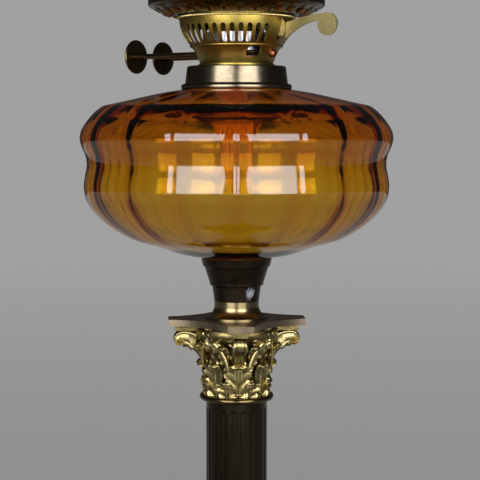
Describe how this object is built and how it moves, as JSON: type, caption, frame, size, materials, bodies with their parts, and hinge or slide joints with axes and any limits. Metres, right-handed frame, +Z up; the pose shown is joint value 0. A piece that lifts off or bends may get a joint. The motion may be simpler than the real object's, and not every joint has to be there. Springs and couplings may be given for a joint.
{
  "type": "duplex oil lamp",
  "caption": "Table oil lamp: fluted column with a Corinthian capital, lobed amber glass font, twin-wick burner, shade gallery and glass chimney.",
  "frame": {"origin": "on the surface the lamp stands on, under the column's axis", "axes": "+Z up along the column; the plinth's sides are square to X and Y; the extinguisher lever points 5.5 degrees from +X towards +Y and the winders point the other way"},
  "size_m": [0.1808, 0.1808, 0.7793],
  "materials": {
    "felt": "napped",
    "steel": "plain",
    "iron": "rough",
    "dark_bronze": "patinated, satin",
    "dull_brass": "tarnished",
    "gilt_brass": "gilt, polished",
    "bright_brass": "polished",
    "silvered_brass": "worn silvery",
    "silvered_drum": "bright",
    "brown_brass": "brown lacquered",
    "copper_bush": "copper-coloured",
    "amber_glass": "pressed, glossy",
    "clear_glass": "clear",
    "plaster": "matt",
    "wick": "woven cotton"
  },
  "bodies": {
    "stand": {"base_felt": "felt", "base_cover": "steel", "base_cover_screws": "steel", "base_weight": "iron", "base_plinth": "dark_bronze", "column_base": "dark_bronze", "column_shaft": "dark_bronze", "astragal_ring": "brown_brass", "capital": "gilt_brass", "abacus_plate": "dull_brass", "pedestal_cone": "bright_brass", "font_mount_cup": "dark_bronze", "tie_rod": "steel", "tie_rod_nuts": "steel", "tie_rod_washer": "steel", "plaster_bed": "plaster", "font_glass": "amber_glass", "collar_plaster": "plaster", "font_collar": "silvered_brass"},
    "burner": {"burner_base": "bright_brass", "burner_basket": "bright_brass", "basket_bead_ring": "bright_brass", "inner_drum": "silvered_drum", "near_wick_tube": "bright_brass", "far_wick_tube": "bright_brass", "tube_plate": "bright_brass", "winder_bushes": "copper_bush", "air_diffuser": "bright_brass", "flame_spreader": "bright_brass", "lever_bracket": "bright_brass", "lever_pin": "steel", "copper_stud": "copper_bush"},
    "near_winder": {"near_winder_shaft": "brown_brass", "near_winder_disc": "brown_brass", "near_wick_wheels": "steel"},
    "far_winder": {"far_winder_shaft": "brown_brass", "far_winder_disc": "brown_brass", "far_wick_wheels": "steel"},
    "near_wick_tape": {"near_wick": "wick"},
    "far_wick_tape": {"far_wick": "wick"},
    "lever": {"extinguisher_lever": "bright_brass"},
    "extinguisher": {"extinguisher_sleeves": "bright_brass"},
    "shade_gallery": {"gallery": "brown_brass", "chimney_holder": "bright_brass"},
    "chimney": {"chimney_glass": "clear_glass"}
  },
  "joints": [
    {"name": "burner_lift", "type": "slide", "parent": "stand", "child": "burner", "axis": [0, 0, 1], "range_m": [0, 0.12]},
    {"name": "gallery_lift", "type": "slide", "parent": "burner", "child": "shade_gallery", "axis": [0, 0, 1], "range_m": [0, 0.06]},
    {"name": "chimney_lift", "type": "slide", "parent": "shade_gallery", "child": "chimney", "axis": [0, 0, 1], "range_m": [0, 0.06]},
    {"name": "near_winder_turn", "type": "hinge", "parent": "burner", "child": "near_winder", "pos_m": [0.00122, -0.01264, 0.4992], "axis": [0.9954, 0.0958, 0], "range_deg": [-140, 90]},
    {"name": "far_winder_turn", "type": "hinge", "parent": "burner", "child": "far_winder", "pos_m": [-0.00122, 0.01264, 0.4992], "axis": [-0.9954, -0.0958, 0], "range_deg": [-140, 90]},
    {"name": "near_wick_rise", "type": "slide", "parent": "burner", "child": "near_wick_tape", "axis": [0, 0, 1], "range_m": [-0.0119, 0.0076]},
    {"name": "far_wick_rise", "type": "slide", "parent": "burner", "child": "far_wick_tape", "axis": [0, 0, 1], "range_m": [-0.0119, 0.0076]},
    {"name": "lever_press", "type": "hinge", "parent": "burner", "child": "lever", "pos_m": [0.03165, 0.00305, 0.513], "axis": [-0.0958, 0.9954, 0], "range_deg": [0, 22]},
    {"name": "extinguisher_rise", "type": "slide", "parent": "burner", "child": "extinguisher", "axis": [0, 0, 1], "range_m": [0, 0.0059]}
  ],
  "couplings": [
    {"joint": "near_winder_turn", "follows": "near_wick_rise", "rad_per_m": 204.08},
    {"joint": "far_winder_turn", "follows": "far_wick_rise", "rad_per_m": 204.08},
    {"joint": "lever_press", "follows": "extinguisher_rise", "rad_per_m": 64.5}
  ]
}
